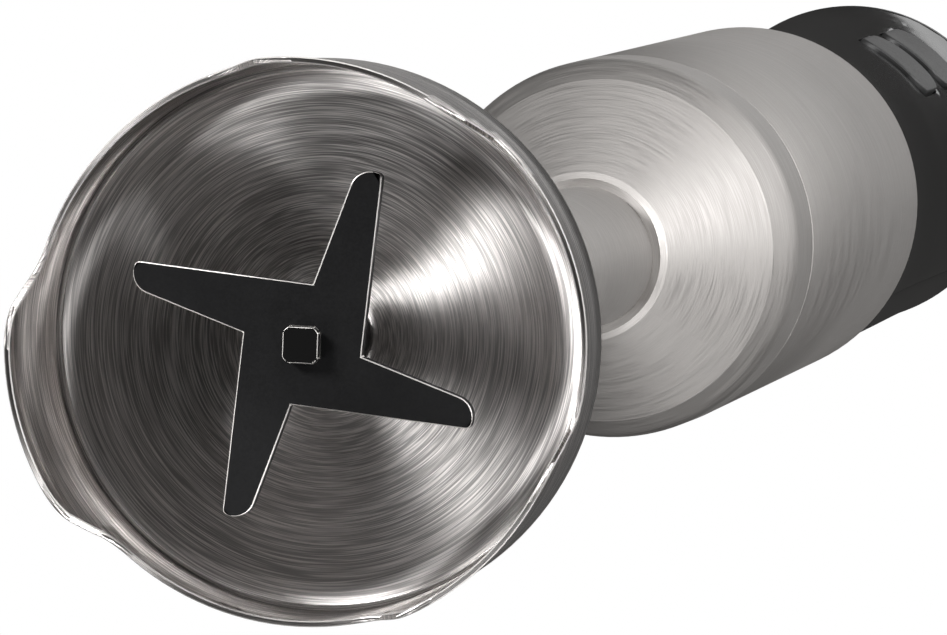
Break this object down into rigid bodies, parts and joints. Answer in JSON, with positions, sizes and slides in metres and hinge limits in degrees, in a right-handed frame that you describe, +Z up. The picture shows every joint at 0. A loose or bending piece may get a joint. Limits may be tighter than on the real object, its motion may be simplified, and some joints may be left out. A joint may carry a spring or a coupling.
{
  "type": "immersion blender",
  "caption": "Hand-held immersion blender: scalloped steel bell and slim tube, flared steel housing, steel collar and a black handle with thumb buttons.",
  "frame": {"origin": "centre of the circle that the bell's three lobes stand on", "axes": "+Z up the blender's axis from bell to cord inlet, -Y the side with the buttons"},
  "size_m": [0.0656, 0.0659, 0.49],
  "materials": {
    "bell_steel": "turned stainless steel with fine circular marks",
    "body_steel": "satin stainless steel",
    "bare_steel": "ground steel",
    "screw_steel": "zinc plated steel",
    "blade_steel": "dark satin blade steel with bright ground edges",
    "core_steel": "laminated electrical steel",
    "copper": "enamelled copper",
    "bronze": "sintered bronze",
    "brass": "brass",
    "carbon": "carbon graphite",
    "black_rubber": "soft black rubber",
    "black_gloss": "glossy black plastic",
    "black_matte": "matte black plastic",
    "grey_plastic": "grey glass-filled nylon",
    "white_plastic": "natural acetal",
    "board_green": "green glass-epoxy board",
    "blue_plastic": "blue film capacitor case",
    "wire_red": "red silicone wire"
  },
  "bodies": {
    "motor_body": {"nose_ring": "black_matte", "steel_collar": "body_steel", "motor_cradle": "grey_plastic", "front_cushion": "black_rubber", "rear_cushion": "black_rubber", "front_bracket": "grey_plastic", "rear_bracket": "grey_plastic", "front_motor_bushing": "bronze", "rear_motor_bushing": "bronze", "motor_screws": "screw_steel", "stator_core": "core_steel", "field_coils": "copper", "brush_holders": "brass", "carbon_brushes": "carbon", "brush_springs": "bare_steel", "handle_front": "black_gloss", "handle_rear": "black_gloss", "handle_screws": "screw_steel", "top_cap": "black_gloss", "cord_gland": "black_rubber", "circuit_board": "board_green", "micro_switches": "black_matte", "suppressor_capacitor": "blue_plastic", "speed_triac": "black_matte", "terminal_block": "white_plastic", "board_screws": "screw_steel", "motor_leads": "wire_red"},
    "arm": {"bell_guard": "bell_steel", "bell_floor": "bell_steel", "shaft_tube": "body_steel", "lower_carrier": "black_matte", "lip_seal": "black_rubber", "lower_bushing": "bronze", "mid_bushing": "white_plastic", "flare_housing": "body_steel", "upper_carrier": "grey_plastic", "upper_bushing": "bronze", "seam_gasket": "black_rubber"},
    "blade_group": {"blade": "blade_steel", "drive_shaft": "bare_steel", "retaining_ring": "bare_steel", "blade_spacer": "bare_steel", "thrust_washer": "white_plastic", "arm_coupling": "white_plastic"},
    "rotor": {"motor_coupling": "white_plastic", "rotor_shaft": "bare_steel", "rotor_core": "core_steel", "rotor_windings": "copper", "commutator": "copper", "cooling_fan": "grey_plastic"},
    "low_button": {"low_button": "black_matte"},
    "high_button": {"high_button": "black_matte"}
  },
  "joints": [
    {"name": "arm_twist", "type": "hinge", "parent": "motor_body", "child": "arm", "pos_m": [0, 0, 0.231], "axis": [0, 0, 1], "range_deg": [0, 30]},
    {"name": "rotor_spin", "type": "hinge", "parent": "motor_body", "child": "rotor", "pos_m": [0, 0, 0.283], "axis": [0, 0, 1], "continuous": true},
    {"name": "blade_spin", "type": "hinge", "parent": "motor_body", "child": "blade_group", "pos_m": [0, 0, 0.0087], "axis": [0, 0, 1], "continuous": true},
    {"name": "low_button_press", "type": "slide", "parent": "motor_body", "child": "low_button", "axis": [0, 1, 0], "range_m": [0, 0.0016], "stiffness_N_per_m": 1200, "springref_m": -0.0015},
    {"name": "high_button_press", "type": "slide", "parent": "motor_body", "child": "high_button", "axis": [0, 1, 0], "range_m": [0, 0.0016], "stiffness_N_per_m": 1200, "springref_m": -0.0015}
  ],
  "couplings": [
    {"joint": "blade_spin", "follows": "rotor_spin", "ratio": 1}
  ]
}
